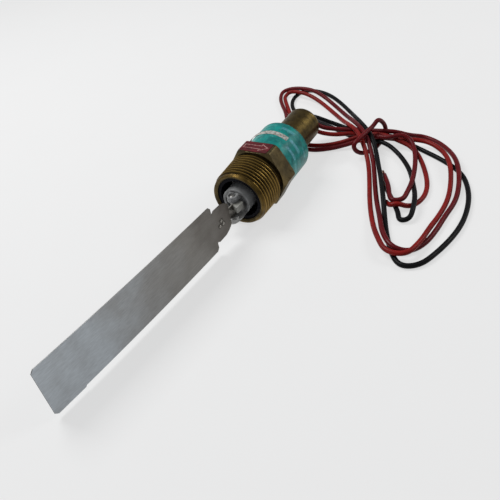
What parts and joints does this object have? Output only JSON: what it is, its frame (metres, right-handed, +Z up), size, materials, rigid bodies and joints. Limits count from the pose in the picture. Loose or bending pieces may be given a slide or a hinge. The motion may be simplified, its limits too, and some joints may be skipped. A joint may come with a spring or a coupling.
{
  "type": "paddle flow switch",
  "caption": "Brass threaded fitting with a hexagon, a capped end with flying leads and a long hinged steel paddle that works a sealed reed switch inside.",
  "frame": {"origin": "on the table under the middle of the length from the paddle's tip to the capped end, on the axis of the fitting, which lies on a flat of its hexagon", "axes": "+Z up, +Y along the fitting's axis from the paddle's tip towards the capped end, +X the way the water pushes the paddle"},
  "size_m": [0.1637, 0.3048, 0.0352],
  "materials": {
    "brass_fitting": "satin, tarnished",
    "teal_label": "glossy film",
    "red_plate": "satin film",
    "black_liner": "satin",
    "spring_steel": "satin",
    "hub_plastic": "semi-matte",
    "seal_rubber": "matte",
    "pin_steel": "bright",
    "sheet_steel": "brushed",
    "blade_steel": "brushed",
    "holder_plastic": "semi-matte",
    "magnet_metal": "plated",
    "brass_cap": "turned",
    "bushing_rubber": "matte",
    "potting_resin": "glossy",
    "splice_sleeve": "matte",
    "black_wire": "glossy",
    "reed_glass": "clear",
    "reed_metal": "plated",
    "red_wire": "glossy",
    "crimson_wire": "glossy",
    "copper_strands": "stranded copper"
  },
  "bodies": {
    "switch_body": {"fitting_body": "brass_fitting", "label_sleeve": "teal_label", "flow_arrow_plate": "red_plate", "bore_liner": "black_liner", "retaining_ring": "spring_steel", "hinge_hub": "hub_plastic", "hub_seal": "seal_rubber", "hinge_pin": "pin_steel", "pin_clip": "spring_steel", "return_spring": "spring_steel", "rear_cap": "brass_cap", "cap_seal": "seal_rubber", "lead_bushing": "bushing_rubber", "potting_plug": "potting_resin", "lead_splices": "splice_sleeve", "inner_leads": "black_wire", "reed_capsule": "reed_glass", "reed_contacts": "reed_metal", "reed_carrier": "holder_plastic", "reed_tails": "reed_metal", "black_lead": "black_wire", "red_lead": "red_wire", "crimson_lead": "crimson_wire", "lead_tie": "crimson_wire", "bare_ends": "copper_strands"},
    "paddle": {"hinge_arm": "sheet_steel", "paddle_blade": "blade_steel", "blade_rivets": "sheet_steel", "magnet_holder": "holder_plastic", "magnet": "magnet_metal"}
  },
  "joints": [
    {"name": "paddle_hinge", "type": "hinge", "parent": "switch_body", "child": "paddle", "pos_m": [0, 0.0222, 0.017], "axis": [0, 0, 1], "range_deg": [0, 18], "stiffness_Nm_per_rad": 0.02, "springref_deg": -14.32, "deforming": ["return_spring"]}
  ]
}
